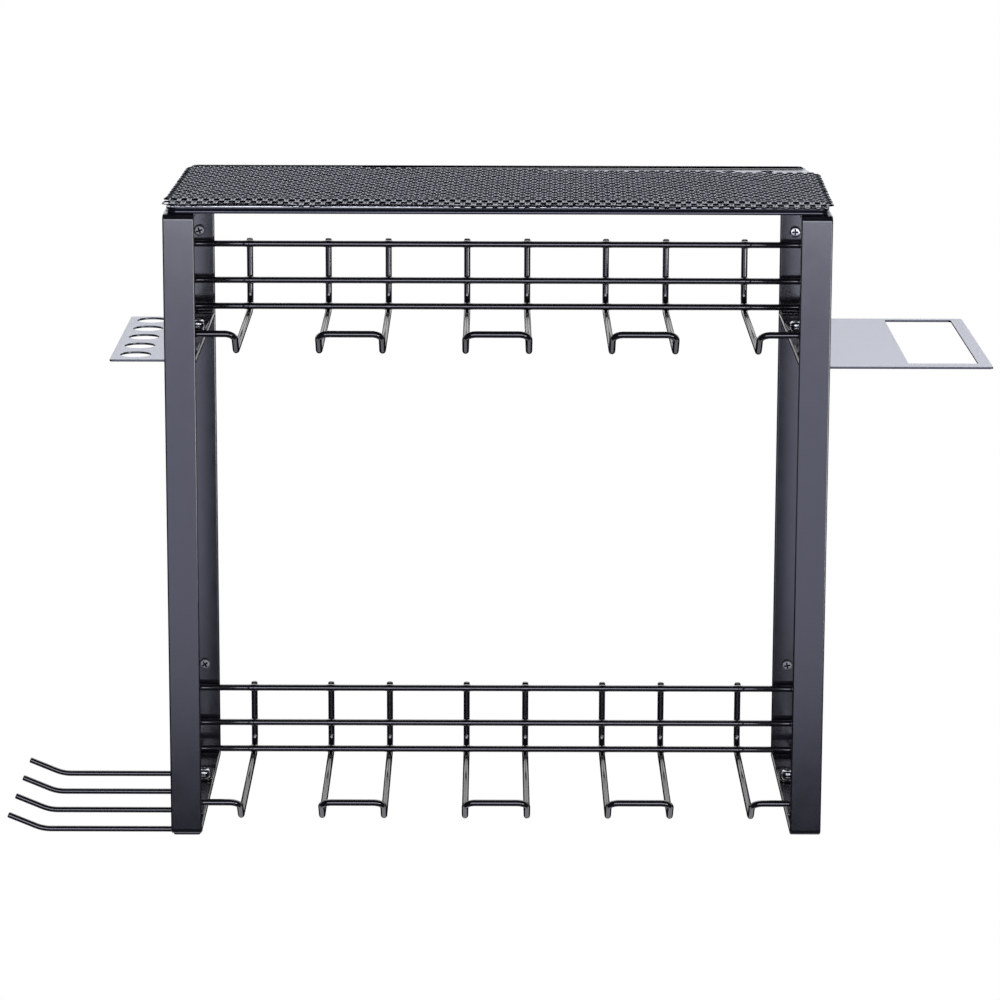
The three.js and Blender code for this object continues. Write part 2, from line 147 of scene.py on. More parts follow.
def arc(centre, radius, start, turn, steps):
    """Points of an arc in a plane, with both its ends."""
    angles = [start + turn * k / steps for k in range(steps + 1)]
    return [
        Vector((centre[0] + radius * math.cos(a), centre[1] + radius * math.sin(a)))
        for a in angles
    ]


def rounded_rectangle(low, high, radius, steps):
    """The outline of a rectangle with round corners, anticlockwise."""
    points = []
    corners = ((high[0], high[1]), (low[0], high[1]), (low[0], low[1]), (high[0], low[1]))
    inward = ((-1, -1), (1, -1), (1, 1), (-1, 1))
    for k, (corner, way) in enumerate(zip(corners, inward)):
        centre = (corner[0] + way[0] * radius, corner[1] + way[1] * radius)
        points += arc(centre, radius, k * math.pi / 2, math.pi / 2, steps)
    return points


def flat_bar_loop(low, high):
    """The bar's rounded section, carried round the loop's outline in the plane of Y and Z."""
    mesh = bmesh.new()
    rings = []
    section = rounded_rectangle((low.x, 0), (high.x, bar_thickness), bar_edge, bar_edge_steps)
    for corner, way, start in (
        ((high.y, high.z), (-1, -1), 0),
        ((low.y, high.z), (1, -1), 1),
        ((low.y, low.z), (1, 1), 2),
        ((high.y, low.z), (-1, 1), 3),
    ):
        centre = Vector((0, corner[0] + way[0] * bar_bend, corner[1] + way[1] * bar_bend))
        for step in range(bar_bend_steps + 1):
            angle = (start + step / bar_bend_steps) * math.pi / 2
            out = Vector((0, math.cos(angle), math.sin(angle)))
            rings.append([
                mesh.verts.new(centre + out * (bar_bend - point.y) + Vector((point.x, 0, 0)))
                for point in section
            ])
    bridged(mesh, rings, closed=True)
    return mesh


for side in sides:
    node = f"side_frame_{side}"
    finished(
        f"frame_{side}",
        flat_bar_loop(*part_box(node)),
        frame_enamel,
        [node],
        smooth=bar_crease,
    )


# Middle arms. Each is a short flat bar of the same stock, set level between the frame's uprights
# and welded to both. A bead of weld runs across each end, above and below.
bead_radius = 0.0016
bead_ripple = 0.0003
bead_steps = 5
bead_stations = 26
bead_end_taper = 3
arm_crease = 50


def weld_bead(mesh, low_x, high_x, corner, ways, seed):
    """A quarter-round bead along X in the corner between the bar and the upright."""
    rings = []
    rough = random.Random(seed)
    for k in range(bead_stations + 1):
        x = low_x + (high_x - low_x) * k / bead_stations
        radius = bead_radius + bead_ripple * (rough.random() - 0.5)
        if k in (0, bead_stations):
            radius = bead_radius / bead_end_taper
        points = [corner]
        for step in range(bead_steps + 1):
            angle = math.pi / 2 * step / bead_steps
            points.append((
                corner[0] + ways[0] * radius * math.cos(angle),
                corner[1] + ways[1] * radius * math.sin(angle),
            ))
        rings.append([mesh.verts.new((x, y, z)) for y, z in points])
    bridged(mesh, rings)
    for end in (rings[0], rings[-1]):
        mesh.faces.new(end)


for side in sides:
    node = f"mid_arm_{side}"
    low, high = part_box(node)
    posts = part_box(f"side_frame_{side}")
    front_face, rear_face = posts[0].y + bar_thickness, posts[1].y - bar_thickness
    arm = bmesh.new()
    section = rounded_rectangle((low.x, low.z), (high.x, high.z), bar_edge, bar_edge_steps)
    ends = [
        [arm.verts.new((point.x, y, point.y)) for point in section]
        for y in (front_face, rear_face)
    ]
    bridged(arm, ends)
    for end in ends:
        arm.faces.new(end)
    for k, (face, way) in enumerate(((front_face, 1), (rear_face, -1))):
        for level, rise in ((high.z, 1), (low.z, -1)):
            weld_bead(arm, low.x + bar_edge, high.x - bar_edge, (face, level), (way, rise), k)
    finished(f"arm_{side}", arm, frame_enamel, [node], smooth=arm_crease)


# Hooks of the two wire racks. Each is one length of drawn steel wire: it comes down the back,
# turns forward over the arms, lifts at the nose and crosses to the other leg the same way.
wire_radius = 0.00225
wire_sides = 20
wire_bend_steps = 9
hook_rear_bend = 0.012
nose_bend = 0.006
nose_corner = 0.007
nose_length = 0.017
nose_rise = 0.0142
wire_end_round = 0.0006
wire_black = (0.008, 0.008, 0.010, 1)
wire_roughness = (0.07, 0.11)
wire_grain = 300
wire_peel = 0.005
wire_index = 1.9
hook_count = 5
rack_levels = ("lower", "upper")

wire_enamel = enamel(
    "wire_enamel", wire_black, wire_roughness, wire_grain, wire_peel, wire_index
)


def bent_path(corners, radii, steps):
    """The centre line through the corners, with each bend as an arc of its own radius."""
    points = [corners[0]]
    for before, corner, after, radius in zip(corners, corners[1:], corners[2:], radii):
        into, out = (corner - before).normalized(), (after - corner).normalized()
        turn = into.angle(out)
        start = corner - into * radius * math.tan(turn / 2)
        centre = start + (out - into * into.dot(out)).normalized() * radius
        axis = into.cross(out).normalized()
        for step in range(steps + 1):
            points.append(centre + Quaternion(axis, turn * step / steps) @ (start - centre))
    return points + [corners[-1]]


def drawn_wire(points, radius, swell=None):
    """Round wire along the points, with its cut ends slightly rounded."""
    mesh = bmesh.new()
    tangents = []
    for k, point in enumerate(points):
        ahead = points[min(k + 1, len(points) - 1)] - point
        behind = point - points[max(k - 1, 0)]
        tangents.append((ahead.normalized() + behind.normalized()).normalized())
    across = tangents[0].orthogonal().normalized()
    rings = []
    for k, (point, along) in enumerate(zip(points, tangents)):
        across = (across - along * across.dot(along)).normalized()
        other = along.cross(across)
        girths = [(0, radius + (swell(point) if swell else 0))]
        if k == 0:
            girths = [(0, radius - wire_end_round), (wire_end_round, radius)]
        elif k == len(points) - 1:
            girths = [(-wire_end_round, radius), (0, radius - wire_end_round)]
        for shift, girth in girths:
            rings.append([
                mesh.verts.new(
                    point + along * shift
                    + across * girth * math.cos(2 * math.pi * side / wire_sides)
                    + other * girth * math.sin(2 * math.pi * side / wire_sides)
                )
                for side in range(wire_sides)
            ])
    bridged(mesh, rings)
    for end in (rings[0], rings[-1]):
        mesh.faces.new(end)
    return mesh


for level in rack_levels:
    for number in range(1, hook_count + 1):
        node = f"{level}_hook_{number}"
        low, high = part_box(node)
        leg = (low.x + wire_radius, high.x - wire_radius)
        rear, tip = high.y - wire_radius, low.y + wire_radius
        run = low.z + wire_radius
        bar = run + nose_rise
        left_leg = [
            Vector((leg[0], rear, high.z)),
            Vector((leg[0], rear, run)),
            Vector((leg[0], tip + nose_length, run)),
            Vector((leg[0], tip, bar)),
        ]
        right_leg = [Vector((leg[1], point.y, point.z)) for point in reversed(left_leg)]
        bends = (hook_rear_bend, nose_bend, nose_corner, nose_corner, nose_bend, hook_rear_bend)
        path = bent_path(left_leg + right_leg, bends, wire_bend_steps)
        finished(
            f"{level}_u_wire_{number}", drawn_wire(path, wire_radius), wire_enamel, [node]
        )


# Cross wires. Three straight wires tie the five hooks of a rack together, resistance welded at
# every leg, where the two wires have sunk a little into each other.
weld_swell = 0.0005
weld_length = 0.0022
cross_step = 0.0012

for level in rack_levels:
    legs = []
    for number in range(1, hook_count + 1):
        low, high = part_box(f"{level}_hook_{number}")
        legs += [low.x + wire_radius, high.x - wire_radius]

    def weld(point):
        """How much the paint and metal stand out near a weld."""
        return sum(weld_swell * math.exp(-(((point.x - leg) / weld_length) ** 2)) for leg in legs)

    for place in ("top", "middle", "bottom"):
        node = f"{level}_wire_{place}"
        low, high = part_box(node)
        y, z = (low.y + high.y) / 2, (low.z + high.z) / 2
        count = round((high.x - low.x) / cross_step)
        path = [
            Vector((low.x + (high.x - low.x) * k / count, y, z)) for k in range(count + 1)
        ]
        finished(
            f"{level}_cross_wire_{place}",
            drawn_wire(path, wire_radius, weld),
            wire_enamel,
            [node],
        )


# Screw tabs. Small plates of thin strip are welded to the outer legs of each rack, and a screw
# through each holds the rack down on the arm.
tab_edge = 0.0003
tab_corner = 0.003
tab_hole = 0.0028
hole_steps = 32
edge_steps = 3
sheet_corner_steps = 6
window_corner_steps = 8
inside_only = 1
cut_tolerance = 1e-9


def turned_edge(top, under, radius, steps):
    """A cut edge with both its corners rounded, as inset and height, from the top face down."""
    edge = []
    for step in range(steps + 1):
        angle = math.pi / 2 * step / steps
        edge.append((radius * (1 - math.sin(angle)), top - radius * (1 - math.cos(angle))))
    return edge + [(inset, top + under - z) for inset, z in reversed(edge)]


def circle(x, y, radius):
    """A hole's outline that grows by the amount asked for."""
    return lambda grow: arc((x, y), radius + grow, 0, 2 * math.pi, hole_steps)[:-1]


def window(low, high, radius):
    """A rectangular opening's outline that grows by the amount asked for."""
    return lambda grow: rounded_rectangle(
        (low[0] - grow, low[1] - grow),
        (high[0] + grow, high[1] + grow),
        radius + grow,
        window_corner_steps,
    )


def plate_outline(low, high, radius):
    """The outline of a flat piece in its CAD node's box, which grows by the amount asked for."""
    return lambda grow: rounded_rectangle(
        (low.x - grow, low.y - grow),
        (high.x + grow, high.y + grow),
        radius + grow,
        sheet_corner_steps,
    )


def cut_sheet(outline, edge, openings, opening_edge):
    """Sheet metal lying in X and Y: the outline follows its edge down, and so does each opening."""
    mesh = bmesh.new()

    def walls(shape, steps, way):
        return [
            [mesh.verts.new((point.x, point.y, z)) for point in shape(way * inset)]
            for inset, z in steps
        ]

    loops = [walls(outline, edge, -1)] + [walls(shape, opening_edge, 1) for shape in openings]
    for loop in loops:
        bridged(mesh, loop)
    for face_ring in (0, -1):
        rings = [loop[face_ring] for loop in loops]
        points, borders, owner = [], [], []
        for index, ring in enumerate(rings):
            first = len(points)
            points += ring
            owner += [index] * len(ring)
            borders += [(first + k, first + (k + 1) % len(ring)) for k in range(len(ring))]
        flat = [point.co.to_2d() for point in points]
        _, _, faces, came_from, _, _ = delaunay_2d_cdt(
            flat, borders, [], inside_only, cut_tolerance
        )
        for face in faces:
            corners = [came_from[corner][0] for corner in face]
            owners = {owner[corner] for corner in corners}
            if len(owners) == 1 and owners != {0}:
                continue
            mesh.faces.new([points[corner] for corner in corners])
    return mesh


for level in rack_levels:
    for side in sides:
        for row in ("rear", "front"):
            node = f"{level}_tab_{side}_{row}"
            low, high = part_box(node)
            screw_low, screw_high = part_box(f"{level}_screw_{side}_{row}")
            hole = circle(
                (screw_low.x + screw_high.x) / 2, (screw_low.y + screw_high.y) / 2, tab_hole
            )
            edge = turned_edge(high.z, low.z, tab_edge, edge_steps)
            finished(
                f"{level}_screw_tab_{side}_{row}",
                cut_sheet(plate_outline(low, high, tab_corner), edge, [hole], edge),
                wire_enamel,
                [node],
            )


# Screws. The racks, plates and rail are clamped by pan-head machine screws of bright steel with a
# cross recess, with a nut under the arm. Smaller ones, three of them darker, hold the frames to the
# wall.
recess_width = 0.0013
recess_reach = 0.0029
recess_depth = 0.0018
recess_lip = 0.0003
recess_overrun = 0.001
recess_floor_shares = (0.45, 0.35)
shank_taper = 0.0005
shank_point = 0.0006
head_edge = 0.0002
head_brim_share = 0.25
head_top_share = 0.3
dome_shares = (0.55, 0.45)
dome_steps = 9
head_steps = 40
bright_grey = (0.62, 0.62, 0.64, 1)
dark_grey = (0.34, 0.34, 0.35, 1)
# Near-black for the faces inside the cross recess: painted shade where the recess is dark.
recess_shade_grey = (0.02, 0.02, 0.022, 1)
bright_roughness = (0.18, 0.32)
dark_roughness = (0.48, 0.62)
recess_roughness = (0.55, 0.7)
zinc_grain = 600
zinc_detail = 3
zinc_dark = 0.85
zinc_peel = 0.03
zinc_peel_depth = 0.0001


def plated(name, colour, roughness):
    """Zinc-plated steel, slightly uneven in colour and gloss."""
    metal = bpy.data.materials.new(name)
    metal.use_nodes = True
    nodes, links = metal.node_tree.nodes, metal.node_tree.links
    shader = nodes["Principled BSDF"]
    shader.inputs["Metallic"].default_value = 1
    place = nodes.new("ShaderNodeTexCoord")
    cloud = nodes.new("ShaderNodeTexNoise")
    cloud.inputs["Scale"].default_value = zinc_grain
    cloud.inputs["Detail"].default_value = zinc_detail
    links.new(place.outputs["Object"], cloud.inputs["Vector"])
    spread = nodes.new("ShaderNodeMapRange")
    spread.inputs["To Min"].default_value, spread.inputs["To Max"].default_value = roughness
    links.new(cloud.outputs["Fac"], spread.inputs["Value"])
    links.new(spread.outputs["Result"], shader.inputs["Roughness"])
    tone = nodes.new("ShaderNodeMix")
    tone.data_type = "RGBA"
    tone.inputs["A"].default_value = [zinc_dark * part for part in colour[:3]] + [1]
    tone.inputs["B"].default_value = colour
    links.new(cloud.outputs["Fac"], tone.inputs["Factor"])
    links.new(tone.outputs["Result"], shader.inputs["Base Color"])
    skin = nodes.new("ShaderNodeBump")
    skin.inputs["Strength"].default_value = zinc_peel
    skin.inputs["Distance"].default_value = zinc_peel_depth
    links.new(cloud.outputs["Fac"], skin.inputs["Height"])
    links.new(skin.outputs["Normal"], shader.inputs["Normal"])
    return metal


bright_plate = plated("bright_plate", bright_grey, bright_roughness)
dark_plate = plated("dark_plate", dark_grey, dark_roughness)
# Plated metal made near-black for the recess faces, as painted shade.
recess_shade = plated("recess_shade", recess_shade_grey, recess_roughness)


def revolved(profile, steps):
    """A turned shape about Z from pairs of radius and height, closed at both ends."""
    mesh = bmesh.new()
    rings = [
        [
            mesh.verts.new((
                radius * math.cos(2 * math.pi * k / steps),
                radius * math.sin(2 * math.pi * k / steps),
                z,
            ))
            for k in range(steps)
        ]
        for radius, z in profile
    ]
    bridged(mesh, rings)
    for end in (rings[0], rings[-1]):
        mesh.faces.new(end)
    bmesh.ops.recalc_face_normals(mesh, faces=mesh.faces)
    return mesh


def cross_recess(top):
    """The driver's cross, tapering into the head."""
    mesh = bmesh.new()
    rings = []
    for z, reach, half in (
        (top + recess_overrun, recess_reach, recess_width / 2),
        (
            top - recess_depth,
            recess_floor_shares[0] * recess_reach,
            recess_floor_shares[1] * recess_width,
        ),
    ):
        ring = []
        for quarter in range(4):
            spin = Matrix.Rotation(quarter * math.pi / 2, 3, "Z")
            ring += [
                mesh.verts.new(spin @ Vector((x, y, z)))
                for x, y in ((reach, -half), (reach, half), (half, half))
            ]
        rings.append(ring)
    bridged(mesh, rings)
    for end in rings:
        mesh.faces.new(end)
    bmesh.ops.recalc_face_normals(mesh, faces=mesh.faces)
    return mesh


def as_object(name, mesh):
    """A plain object for the mesh: a pattern, a cutting tool or a thing of the studio."""
    data = bpy.data.meshes.new(name)
    mesh.to_mesh(data)
    mesh.free()
    thing = bpy.data.objects.new(name, data)
    bpy.context.scene.collection.objects.link(thing)
    return thing


def screw_pattern(head_radius, head_height, shank_radius, length, turn):
    """A pan-head screw about Z, its head's underside at zero and its shank below."""
    brim = head_brim_share * head_height
    profile = [
        (shank_radius - shank_taper, -length),
        (shank_radius, shank_point - length),
        (shank_radius, 0),
        (head_radius - head_edge, 0),
        (head_radius, head_edge),
        (head_radius, brim),
    ]
    for step in range(1, dome_steps):
        angle = math.pi / 2 * step / dome_steps
        profile.append((
            head_radius * (dome_shares[0] + dome_shares[1] * math.cos(angle)),
            brim + (head_height - brim) * math.sin(angle),
        ))
    profile.append((head_radius * head_top_share, head_height))
    body = as_object("screw_body", revolved(profile, head_steps))
    tool = as_object("screw_driver_cross", cross_recess(head_height))
    tool.rotation_euler.z = turn
    cut = body.modifiers.new("recess", "BOOLEAN")
    cut.operation = "DIFFERENCE"
    cut.object = tool
    bpy.context.view_layer.update()
    shaped = bpy.data.meshes.new_from_object(
        body.evaluated_get(bpy.context.evaluated_depsgraph_get())
    )
    for used in (body, tool):
        bpy.data.objects.remove(used)
    mesh = bmesh.new()
    mesh.from_mesh(shaped)
    # Faces inside the cross recess take the second material, which paints shade into the recess.
    for face in mesh.faces:
        spot = face.calc_center_median()
        if 0 < spot.z < head_height - recess_lip and spot.to_2d().length < recess_reach:
            face.material_index = 1
    return mesh


# Head radius, head height, shank radius and length
arm_screw_size = (0.00475, 0.0032, 0.0024, 0.014)
wall_screw_size = (0.0041, 0.0026, 0.0022, 0.003)
arm_screw_turn = 0.4

for level in rack_levels:
    for k, side in enumerate(sides):
        for row in ("rear", "front"):
            node = f"{level}_screw_{side}_{row}"
            low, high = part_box(node)
            mesh = screw_pattern(*arm_screw_size, arm_screw_turn + k)
            seat = Vector(((low.x + high.x) / 2, (low.y + high.y) / 2, high.z - arm_screw_size[1]))
            mesh.transform(Matrix.Translation(seat))
            finished(
                f"{level}_pan_screw_{side}_{row}",
                mesh,
                bright_plate,
                [node],
                inside=recess_shade,
            )

wall_turns = {"lower_left": 0.6, "lower_right": 0.2, "upper_left": 0.35, "upper_right": 0.0}
for where, turn in wall_turns.items():
    node = f"wall_screw_{where}"
    low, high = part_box(node)
    mesh = screw_pattern(*wall_screw_size, turn)
    seat = Vector(((low.x + high.x) / 2, low.y + wall_screw_size[1], (low.z + high.z) / 2))
    mesh.transform(Matrix.Translation(seat) @ Matrix.Rotation(math.pi / 2, 4, "X"))
    bright = where == "upper_right"
    finished(
        f"wall_pan_screw_{where}",
        mesh,
        bright_plate if bright else dark_plate,
        [node],
        inside=recess_shade,
    )


# Nuts. A plated hexagon nut closes each arm screw under the arm; its faces are chamfered where
# they meet the washer face, and the screw's end stands through it.
nut_chamfer = 0.0006
nut_sides = 6
nut_turn = math.pi / 3
nut_side_parts = 4
nut_crease = 25

for level in rack_levels:
    for side in sides:
        for row in ("rear", "front"):
            node = f"{level}_nut_{side}_{row}"
            low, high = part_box(node)
            middle = (low + high) / 2
            across_corners = max(high.x - low.x, high.y - low.y) / 2
            lie = 0 if high.x - low.x > high.y - low.y else nut_turn / 2
            nut = bmesh.new()
            rings = []
            for radius, z in (
                (arm_screw_size[2], low.z),
                (across_corners - nut_chamfer, low.z),
                (across_corners, low.z + nut_chamfer / 2),
                (across_corners, high.z - nut_chamfer / 2),
                (across_corners - nut_chamfer, high.z),
                (arm_screw_size[2], high.z),
            ):
                ring = []
                for corner in range(nut_sides):
                    for part in range(nut_side_parts):
                        angle = lie + nut_turn * corner
                        here = Vector((math.cos(angle), math.sin(angle)))
                        there = Vector((math.cos(angle + nut_turn), math.sin(angle + nut_turn)))
                        flat = here.lerp(there, part / nut_side_parts)
                        if radius == arm_screw_size[2]:
                            flat = flat.normalized()
                        spot = middle.to_2d() + flat * radius
                        ring.append(nut.verts.new((spot.x, spot.y, z)))
                rings.append(ring)
            bridged(nut, rings, closed=True)
            finished(
                f"{level}_hex_nut_{side}_{row}",
                nut,
                bright_plate,
                [node],
                smooth=nut_crease,
            )


# Tool plate. A flat plate of black sheet steel on the left, clamped under the middle arm by the
# upper rack's screws and nuts. Five round holes are punched in it for screwdrivers and bits.
plate_black = (0.014, 0.014, 0.017, 1)
plate_roughness = (0.27, 0.30)
plate_peel = 0.015
plate_index = 1.65
lacquer = {
    "Coat Weight": 0.8,
    "Coat Roughness": 0.2,
    "Coat IOR": 1.5,
    "Coat Tint": (0.78, 0.82, 1, 1),
}
plate_enamel = enamel(
    "plate_enamel", plate_black, plate_roughness, enamel_grain, plate_peel, plate_index
)


def lacquered(paint):
    """A clear coat over the paint, which a flat sheet shows as a pale sheen at a low angle."""
    for socket, value in lacquer.items():
        paint.node_tree.nodes["Principled BSDF"].inputs[socket].default_value = value


lacquered(plate_enamel)
plate_edge = 0.00035
plate_corner = 0.002
tool_hole_radius = 0.0104
tool_hole_count = 5
tool_hole_inset = 0.0159
tool_hole_first = 0.0143
tool_hole_pitch = 0.03355


def clamp_holes(side, low, high):
    """Clearance holes for the upper rack's screws, which pass through the plate."""
    holes = []
    for row in ("rear", "front"):
        screw_low, screw_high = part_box(f"upper_screw_{side}_{row}")
        spot = (screw_low + screw_high) / 2
        if low.x < spot.x < high.x:
            holes.append(circle(spot.x, spot.y, tab_hole))
    return holes


low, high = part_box("tool_plate")
tool_holes = [
    circle(low.x + tool_hole_inset, high.y - tool_hole_first - tool_hole_pitch * k, tool_hole_radius)
    for k in range(tool_hole_count)
]
tool_holes += clamp_holes("left", low, high)
edge = turned_edge(high.z, low.z, plate_edge, edge_steps)
finished(
    "punched_tool_plate",
    cut_sheet(plate_outline(low, high, plate_corner), edge, tool_holes, edge),
    plate_enamel,
    ["tool_plate"],
)


# Window plate. The tool plate's mate on the right, of the same sheet steel and clamped in the same
# way. It is wider and has one long window for larger tools.
window_rear = 0.0062
window_front = 0.013
window_outer = 0.0085
window_inner = 0.0725
window_corner = 0.002

low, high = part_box("window_plate")
opening = window(
    (low.x + window_inner, low.y + window_front),
    (high.x - window_outer, high.y - window_rear),
    window_corner,
)
openings = [opening] + clamp_holes("right", low, high)
edge = turned_edge(high.z, low.z, plate_edge, edge_steps)
finished(
    "punched_window_plate",
    cut_sheet(plate_outline(low, high, plate_corner), edge, openings, edge),
    plate_enamel,
    ["window_plate"],
)


# Side hooks and their rail. Four straight wires with raised tips are welded to a strip, which the
# lower left screws hold up under the frame's bottom bar.
low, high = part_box("hook_rail")
rail_holes = []
for row in ("rear", "front"):
    screw_low, screw_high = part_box(f"lower_screw_left_{row}")
    spot = (screw_low + screw_high) / 2
    rail_holes.append(circle(spot.x, spot.y, tab_hole))
edge = turned_edge(high.z, low.z, plate_edge, edge_steps)
finished(
    "side_hook_rail",
    cut_sheet(plate_outline(low, high, plate_corner), edge, rail_holes, edge),
    plate_enamel,
    ["hook_rail"],
)

side_wire_radius = 0.002
side_hook_count = 4
side_hook_bend = 0.028
side_tip_angle = math.radians(22.7)

for number in range(1, side_hook_count + 1):
    node = f"side_hook_{number}"
    low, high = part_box(node)
    y, z = (low.y + high.y) / 2, low.z + side_wire_radius
    tip = Vector((
        low.x + side_wire_radius * math.sin(side_tip_angle),
        y,
        high.z - side_wire_radius * math.cos(side_tip_angle),
    ))
    bend = Vector((tip.x + (tip.z - z) / math.tan(side_tip_angle), y, z))
    path = bent_path([Vector((high.x, y, z)), bend, tip], [side_hook_bend], wire_bend_steps)
    finished(
        f"side_wire_hook_{number}",
        drawn_wire(path, side_wire_radius),
        wire_enamel,
        [node],
    )


# Top tray. A sheet of perforated steel with its four sides turned down and its corners rounded,
# screwed down on the frames' top bars. Small parts go on it.
tray_sheet = 0.0012
tray_bend = 0.0036
tray_bend_depth = 0.0009
tray_front_reach = 1.1
tray_groove = 0.00045
tray_groove_drop = 0.0024
tray_hem_radius = 0.0011
tray_corner = 0.009
tray_corner_steps = 10
tray_hole_radius = 0.0047
tray_hole_edge = 0.0002
tray_hole_edge_steps = 2
tray_bend_steps = 8
tray_groove_steps = 4
tray_hem_steps = 8
tray_hem_height_parts = 3
tray_hole_pitch = 0.0269
tray_columns = 15
tray_rows = 7
tray_screw_radius = 0.0043
lip_radius = 0.0010
lip_height = 0.0016
lip_start = math.radians(35)
lip_turn = math.radians(55)
lip_bend_steps = 6
lip_section_steps = 10
lip_end_share = 0.2
lip_fade_steps = 4

tray_enamel = enamel(
    "tray_enamel", enamel_black, enamel_roughness, enamel_grain, plate_peel, plate_index
)
lacquered(tray_enamel)

low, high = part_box("shelf_tray")


def tray_outline(grow):
    """The tray's outline; its front bend reaches further in than the other three."""
    return rounded_rectangle(
        (low.x - grow, low.y - tray_front_reach * grow),
        (high.x + grow, high.y + grow),
        tray_corner + grow,
        tray_corner_steps,
    )


rim = []
for step in range(tray_bend_steps + 1):
    angle = math.pi / 2 * step / tray_bend_steps
    rim.append((
        tray_bend * (1 - math.sin(angle)),
        high.z - tray_bend_depth * (1 - math.cos(angle)),
    ))
for step in range(1, tray_groove_steps + 1):
    share = step / tray_groove_steps
    rim.append((
        tray_groove * math.sin(share * math.pi / 2) ** 2,
        high.z - tray_bend_depth - (tray_groove_drop - tray_bend_depth) * share,
    ))
hem_top = high.z - tray_groove_drop
hem_tall = hem_top - low.z
for step in range(1, tray_hem_steps + 1):
    angle = math.pi * step / tray_hem_steps
    narrowing = tray_groove / tray_hem_radius if step < tray_hem_steps / 2 else 1
    rim.append((
        tray_hem_radius * (1 - math.sin(angle)) * narrowing,
        hem_top - hem_tall * (1 - math.cos(angle)) / 2,
    ))
rim.append((tray_bend, low.z + hem_tall / tray_hem_height_parts))
rim.append((tray_bend, high.z - tray_sheet))
hole_rim = turned_edge(high.z, high.z - tray_sheet, tray_hole_edge, tray_hole_edge_steps)
centre = (low + high) / 2
tray_holes = [
    circle(
        centre.x + (column - (tray_columns - 1) / 2) * tray_hole_pitch,
        centre.y + (row - (tray_rows - 1) / 2) * tray_hole_pitch,
        tray_hole_radius,
    )
    for row in range(tray_rows)
    for column in range(tray_columns)
]
for side in sides:
    screw_low, screw_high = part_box(f"tray_screw_{side}")
    spot = (screw_low + screw_high) / 2
    tray_holes.append(circle(spot.x, spot.y, tray_screw_radius))
tray = cut_sheet(tray_outline, rim, tray_holes, hole_rim)
lip_path = []
for sign in (1, -1):
    corner = Vector((centre.x + sign * ((high.x - low.x) / 2 - tray_corner), high.y - tray_corner))
    bend = [
        Vector((sign * point.x, point.y))
        for point in arc((0, 0), 1, lip_start, lip_turn, lip_bend_steps)
    ]
    bend = bend if sign > 0 else bend[::-1]
    lip_path += [corner + point * (tray_corner - lip_radius) for point in bend]
lip_rings = []
for k, spot in enumerate(lip_path):
    ahead = lip_path[min(k + 1, len(lip_path) - 1)] - lip_path[max(k - 1, 0)]
    across = Vector((-ahead.y, ahead.x)).normalized()
    grown = min(1, lip_end_share + min(k, len(lip_path) - 1 - k) / lip_fade_steps)
    lip_rings.append([
        tray.verts.new((
            spot.x + across.x * point.x * lip_radius,
            spot.y + across.y * point.x * lip_radius,
            high.z + point.y * lip_height * grown,
        ))
        for point in arc((0, 0), 1, 0, math.pi, lip_section_steps)
    ])
bridged(tray, lip_rings)
for end in lip_rings:
    tray.faces.new(end)
finished("perforated_tray", tray, tray_enamel, ["shelf_tray"])


# Tray screws. Two countersunk screws of zinc-plated steel, flush with the tray, go down into the
# frames' top bars. The mat lies over them.
tray_shank_radius = 0.0019
tray_screw_tip = 0.0014
tray_screw_point = 0.0006
countersink_depth = 0.0024
countersink_edge = 0.0002

for side in sides:
    node = f"tray_screw_{side}"
    low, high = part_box(node)
    head = (high.x - low.x) / 2
    profile = [
        (tray_screw_tip, low.z),
        (tray_shank_radius, low.z + tray_screw_point),
        (tray_shank_radius, high.z - countersink_depth),
        (head, high.z - countersink_edge),
        (head - countersink_edge, high.z),
    ]
    screw = revolved(profile, head_steps)
    screw.transform(Matrix.Translation(((low.x + high.x) / 2, (low.y + high.y) / 2, 0)))
    finished(f"countersunk_screw_{side}", screw, dark_plate, [node])


# Mesh mat. A net of foamed vinyl, cut from a roll and laid loose on the tray, a little askew.
# Its gaps are staggered from row to row, the foam dips between them, and the front edge curls.
mat_corners = (
    Vector((-0.2207, -0.1871)),
    Vector((0.2206, -0.1955)),
    Vector((0.2236, -0.0338)),
    Vector((-0.2163, -0.0029)),
)
mat_columns = 62
mat_rows = 29
mat_thickness = 0.0015
mat_dip = 0.0009
gap_half_width = 0.0020
gap_half_length = 0.0026
gap_corner = 0.85
gap_end_share = 0.96
gap_side_share = 0.6
gap_rim_drop = 0.0004
gap_foot = 0.0003
gap_shake = 0.00015
gap_growth = (0.88, 1.08)
# Faces steeper than this slope are the gaps' walls, and they get the painted-shade vinyl.
wall_slope = 0.5
strand_half = 0.00045
mat_curl = 0.0013
curl_place = 0.015
curl_reach = 0.008
mat_lift = 0.0002
lift_reach = 0.008
mat_seat = 0.0003
curl_wave = 92
curl_sway = 1.6
curl_sway_wave = 31
curl_beat = 13
curl_beat_start = 0.6
ripple_height = 0.0002
ripple_waves = ((47, 60), (85, 21))
grid_steps = (4, 12)
front_sags = ((-0.205, 0.02), (-0.126, 0.015), (-0.005, 0.032), (0.113, 0.01), (0.195, 0.03))
sag_forward = 0.0055
sag_reach = 0.02
mat_seed = 7
vinyl_grey = (0.010, 0.011, 0.021, 1)
vinyl_roughness = 0.38
# The gap walls' near-black vinyl without sheen: painted shade inside the gaps.
gap_wall_shade_grey = (0.003, 0.003, 0.006, 1)
gap_wall_shade_roughness = 0.7
gap_wall_shade_look = {"Specular IOR Level": 0.1}
pore_grain = 1400
pore_detail = 3
pore_dark = 0.6
pore_relief = 0.35
pore_depth = 0.0002
edge_thin = 0.6
edge_thin_reach = 0.005
vinyl_look = {
    "Specular IOR Level": 0.42,
    "Sheen Weight": 0.30,
    "Sheen Roughness": 0.35,
    "Sheen Tint": (0.62, 0.70, 1, 1),
}


